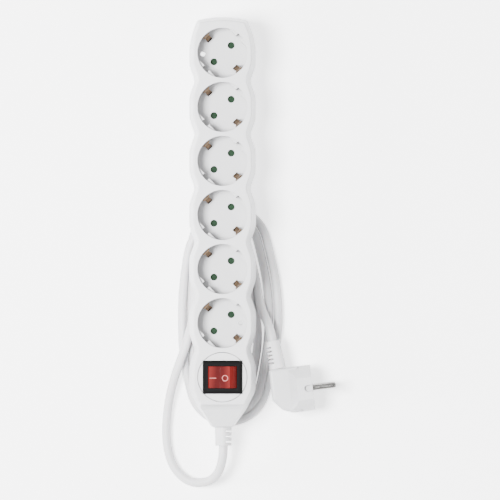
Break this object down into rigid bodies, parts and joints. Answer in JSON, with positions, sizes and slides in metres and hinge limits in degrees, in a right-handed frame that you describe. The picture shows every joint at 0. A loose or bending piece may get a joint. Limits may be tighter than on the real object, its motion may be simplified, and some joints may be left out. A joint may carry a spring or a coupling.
{
  "type": "power strip",
  "caption": "Switched power strip with a row of round earthed sockets in a scalloped housing, lit red rocker, folded lead and angled plug.",
  "frame": {"origin": "middle of the housing's box, measured without the lead, its strain relief and its plug", "axes": "+Y along the housing to its closed end, +Z out of the socket faces, +X to the right with the closed end up"},
  "size_m": [0.1406, 0.3782, 0.0609],
  "materials": {
    "housing_white": "moulded, satin sheen",
    "plug_white": "moulded, fine spark texture",
    "soft_white": "soft flexible moulding",
    "cord_white": "smooth flexible sheath",
    "shutter_green": "moulded",
    "brass": "stamped sheet, bright with darker edges",
    "nickel_pins": "turned and plated",
    "screw_steel": "zinc plated",
    "bezel_black": "moulded, semi gloss",
    "rocker_red": "tinted translucent moulding",
    "lamp_glass": "clear glow lamp",
    "core_brown": "core insulation",
    "core_blue": "core insulation",
    "core_green_yellow": "core insulation"
  },
  "bodies": {
    "housing": {"top_cover": "housing_white", "base_shell": "housing_white", "socket_cup_1": "housing_white", "socket_cup_2": "housing_white", "socket_cup_3": "housing_white", "socket_cup_4": "housing_white", "socket_cup_5": "housing_white", "socket_cup_6": "housing_white", "shutter_springs": "screw_steel", "shutter_clips": "screw_steel", "live_busbar": "brass", "neutral_busbar": "brass", "earth_busbar": "brass", "earth_clip_1": "brass", "earth_clip_2": "brass", "earth_clip_3": "brass", "earth_clip_4": "brass", "earth_clip_5": "brass", "earth_clip_6": "brass", "switch_plate": "housing_white", "switch_housing": "bezel_black", "switch_terminals": "brass", "wire_terminals": "brass", "wire_live_in": "core_brown", "wire_neutral_in": "core_blue", "wire_live_out": "core_brown", "wire_neutral_out": "core_blue", "wire_earth": "core_green_yellow", "cord_sheath": "cord_white", "cord_clamp": "housing_white", "case_screws": "screw_steel", "clamp_screws": "screw_steel", "strain_relief": "soft_white", "plug_body": "plug_white", "plug_boot": "soft_white", "plug_pin_live": "nickel_pins", "plug_pin_neutral": "nickel_pins", "plug_earth_clips": "nickel_pins", "plug_earth_socket": "brass", "cord_loop": "cord_white", "cord_tail": "cord_white", "cord_hank": "cord_white"},
    "rocker": {"switch_rocker": "rocker_red", "neon_lamp": "lamp_glass"},
    "bridges": {"contact_bridges": "brass"},
    "shutter_1_body": {"shutter_1": "shutter_green"},
    "shutter_2_body": {"shutter_2": "shutter_green"},
    "shutter_3_body": {"shutter_3": "shutter_green"},
    "shutter_4_body": {"shutter_4": "shutter_green"},
    "shutter_5_body": {"shutter_5": "shutter_green"},
    "shutter_6_body": {"shutter_6": "shutter_green"}
  },
  "joints": [
    {"name": "rocker_tilt", "type": "hinge", "parent": "housing", "child": "rocker", "pos_m": [0, -0.1236, 0.01175], "axis": [0, 1, 0], "range_deg": [0, 28]},
    {"name": "bridge_tilt", "type": "hinge", "parent": "housing", "child": "bridges", "pos_m": [0, -0.1236, 0.00365], "axis": [0, 1, 0], "range_deg": [-16, 0]},
    {"name": "shutter_1_turn", "type": "hinge", "parent": "housing", "child": "shutter_1_body", "pos_m": [0, 0.1353, -0.00405], "axis": [0, 0, 1], "range_deg": [0, 42], "stiffness_Nm_per_rad": 0.0015, "springref_deg": -5.73},
    {"name": "shutter_2_turn", "type": "hinge", "parent": "housing", "child": "shutter_2_body", "pos_m": [0, 0.09215, -0.00405], "axis": [0, 0, 1], "range_deg": [0, 42], "stiffness_Nm_per_rad": 0.0015, "springref_deg": -5.73},
    {"name": "shutter_3_turn", "type": "hinge", "parent": "housing", "child": "shutter_3_body", "pos_m": [0, 0.049, -0.00405], "axis": [0, 0, 1], "range_deg": [0, 42], "stiffness_Nm_per_rad": 0.0015, "springref_deg": -5.73},
    {"name": "shutter_4_turn", "type": "hinge", "parent": "housing", "child": "shutter_4_body", "pos_m": [0, 0.00585, -0.00405], "axis": [0, 0, 1], "range_deg": [0, 42], "stiffness_Nm_per_rad": 0.0015, "springref_deg": -5.73},
    {"name": "shutter_5_turn", "type": "hinge", "parent": "housing", "child": "shutter_5_body", "pos_m": [0, -0.0373, -0.00405], "axis": [0, 0, 1], "range_deg": [0, 42], "stiffness_Nm_per_rad": 0.0015, "springref_deg": -5.73},
    {"name": "shutter_6_turn", "type": "hinge", "parent": "housing", "child": "shutter_6_body", "pos_m": [0, -0.08045, -0.00405], "axis": [0, 0, 1], "range_deg": [0, 42], "stiffness_Nm_per_rad": 0.0015, "springref_deg": -5.73}
  ],
  "couplings": [
    {"joint": "bridge_tilt", "follows": "rocker_tilt", "ratio": -0.57143}
  ]
}
